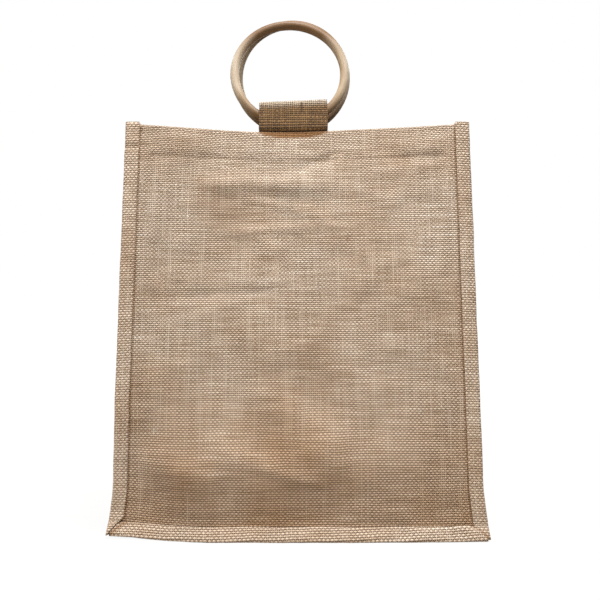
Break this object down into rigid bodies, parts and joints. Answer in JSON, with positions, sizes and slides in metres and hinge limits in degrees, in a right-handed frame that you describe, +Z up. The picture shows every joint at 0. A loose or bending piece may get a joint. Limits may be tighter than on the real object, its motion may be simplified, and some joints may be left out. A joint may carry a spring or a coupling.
{
  "type": "jute carrier bag",
  "caption": "Upright jute carrier bag with bound seams, creased side gussets and bent-cane ring handles held in sewn tabs.",
  "frame": {"origin": "on the floor under the middle of the bag's base", "axes": "+Z up, +X to the right seen from the front, the front panel faces -Y"},
  "size_m": [0.356, 0.1782, 0.5243],
  "materials": {
    "jute_cloth": "plain-woven natural jute, matt and slightly hairy",
    "jute_binding": "folded jute strip, plain-woven, matt",
    "jute_tab": "doubled jute strip, plain-woven, a little browner than the panels",
    "cane": "bent rattan cane, clear-varnished to a soft gloss",
    "brass_tack": "dull drawn brass"
  },
  "bodies": {
    "bag_base": {"base_gusset": "jute_cloth", "left_gusset": "jute_cloth", "right_gusset": "jute_cloth", "front_seam_edge": "jute_cloth", "front_bottom_binding": "jute_binding", "back_seam_edge": "jute_cloth", "back_bottom_binding": "jute_binding"},
    "front_side": {"front_panel": "jute_cloth", "front_left_binding": "jute_binding", "front_right_binding": "jute_binding", "front_tab_tail": "jute_tab"},
    "back_side": {"back_panel": "jute_cloth", "back_left_binding": "jute_binding", "back_right_binding": "jute_binding", "back_tab_tail": "jute_tab"},
    "front_tab": {"front_tab_loop": "jute_tab"},
    "back_tab": {"back_tab_loop": "jute_tab"},
    "front_handle": {"front_ring": "cane", "front_ring_tack": "brass_tack"},
    "back_handle": {"back_ring": "cane", "back_ring_tack": "brass_tack"}
  },
  "joints": [
    {"name": "front_panel_tilt", "type": "hinge", "parent": "bag_base", "child": "front_side", "pos_m": [0, -0.08, 0.01192], "axis": [1, 0, 0], "range_deg": [0, 5.6], "deforming": ["left_gusset", "right_gusset"]},
    {"name": "back_panel_tilt", "type": "hinge", "parent": "bag_base", "child": "back_side", "pos_m": [0, 0.08, 0.01192], "axis": [-1, 0, 0], "range_deg": [0, 5.6]},
    {"name": "front_tab_swing", "type": "hinge", "parent": "front_side", "child": "front_tab", "pos_m": [0, -0.0237, 0.3975], "axis": [1, 0, 0], "range_deg": [0, 160]},
    {"name": "back_tab_swing", "type": "hinge", "parent": "back_side", "child": "back_tab", "pos_m": [0, 0.0237, 0.3975], "axis": [-1, 0, 0], "range_deg": [0, 150]},
    {"name": "front_ring_spin", "type": "hinge", "parent": "front_tab", "child": "front_handle", "pos_m": [-0.0084, -0.00206, 0.46025], "axis": [0, 0.9677, -0.2521], "continuous": true},
    {"name": "back_ring_spin", "type": "hinge", "parent": "back_tab", "child": "back_handle", "pos_m": [-0.006, 0.02026, 0.46232], "axis": [0, 0.9996, -0.0279], "continuous": true}
  ]
}
